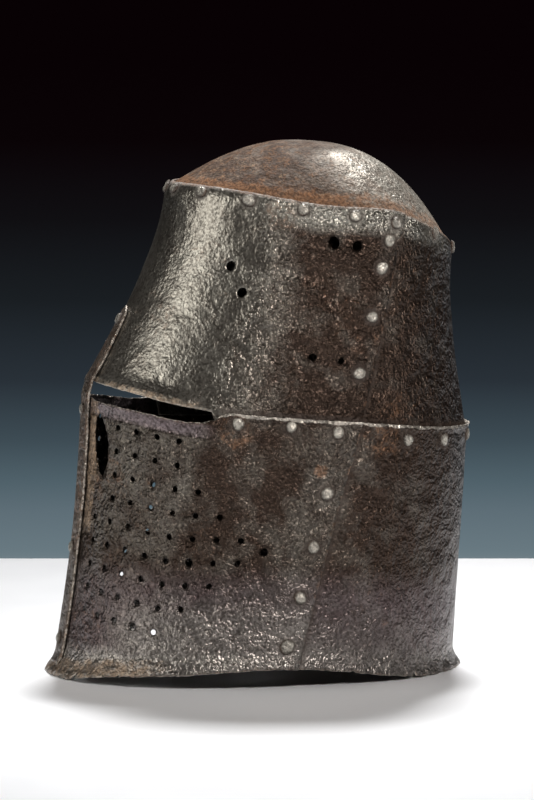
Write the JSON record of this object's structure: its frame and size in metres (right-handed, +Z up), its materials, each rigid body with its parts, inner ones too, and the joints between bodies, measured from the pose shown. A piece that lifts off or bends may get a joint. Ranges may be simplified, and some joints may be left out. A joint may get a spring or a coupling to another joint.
{
  "type": "great helm",
  "caption": "Riveted great helm of dark pitted iron with a low domed crown, an upright front bar, two narrow sights and pierced breaths, standing on its rim.",
  "frame": {"origin": "on the ground below the middle of the helm's bounding box", "axes": "+Z up, -Y out of the face, +X towards the wearer's left"},
  "size_m": [0.2288, 0.2934, 0.36],
  "materials": {
    "crown_iron": "dark brown pitted iron, waxed",
    "brow_iron": "dark grey-brown pitted iron, waxed, with a faint green cast",
    "face_iron": "dark pitted iron, purplish and tan towards the rim",
    "back_iron": "very dark brown pitted iron",
    "bar_iron": "rusted iron strap",
    "rivet_iron": "worn iron rivets, pale on the heads"
  },
  "bodies": {
    "root": {"bar_rivet_1": "rivet_iron", "bar_rivet_2": "rivet_iron", "bar_rivet_3": "rivet_iron", "bar_rivet_4": "rivet_iron", "brow_plate": "brow_iron", "crown_cap": "crown_iron", "crown_rivet_left_1": "rivet_iron", "crown_rivet_left_2": "rivet_iron", "crown_rivet_left_3": "rivet_iron", "crown_rivet_left_4": "rivet_iron", "crown_rivet_left_5": "rivet_iron", "crown_rivet_left_6": "rivet_iron", "crown_rivet_left_7": "rivet_iron", "crown_rivet_left_8": "rivet_iron", "crown_rivet_right_1": "rivet_iron", "crown_rivet_right_2": "rivet_iron", "crown_rivet_right_3": "rivet_iron", "crown_rivet_right_4": "rivet_iron", "crown_rivet_right_5": "rivet_iron", "crown_rivet_right_6": "rivet_iron", "crown_rivet_right_7": "rivet_iron", "crown_rivet_right_8": "rivet_iron", "face_plate": "face_iron", "front_bar": "bar_iron", "lower_back_plate": "back_iron", "lower_seam_rivet_left_1": "rivet_iron", "lower_seam_rivet_left_2": "rivet_iron", "lower_seam_rivet_left_3": "rivet_iron", "lower_seam_rivet_left_4": "rivet_iron", "lower_seam_rivet_right_1": "rivet_iron", "lower_seam_rivet_right_2": "rivet_iron", "lower_seam_rivet_right_3": "rivet_iron", "lower_seam_rivet_right_4": "rivet_iron", "upper_back_plate": "back_iron", "upper_seam_rivet_left_1": "rivet_iron", "upper_seam_rivet_left_2": "rivet_iron", "upper_seam_rivet_left_3": "rivet_iron", "upper_seam_rivet_left_4": "rivet_iron", "upper_seam_rivet_right_1": "rivet_iron", "upper_seam_rivet_right_2": "rivet_iron", "upper_seam_rivet_right_3": "rivet_iron", "upper_seam_rivet_right_4": "rivet_iron", "waist_rivet_left_1": "rivet_iron", "waist_rivet_left_2": "rivet_iron", "waist_rivet_left_3": "rivet_iron", "waist_rivet_left_4": "rivet_iron", "waist_rivet_left_5": "rivet_iron", "waist_rivet_left_6": "rivet_iron", "waist_rivet_right_1": "rivet_iron", "waist_rivet_right_2": "rivet_iron", "waist_rivet_right_3": "rivet_iron", "waist_rivet_right_4": "rivet_iron", "waist_rivet_right_5": "rivet_iron", "waist_rivet_right_6": "rivet_iron"}
  },
  "joints": []
}
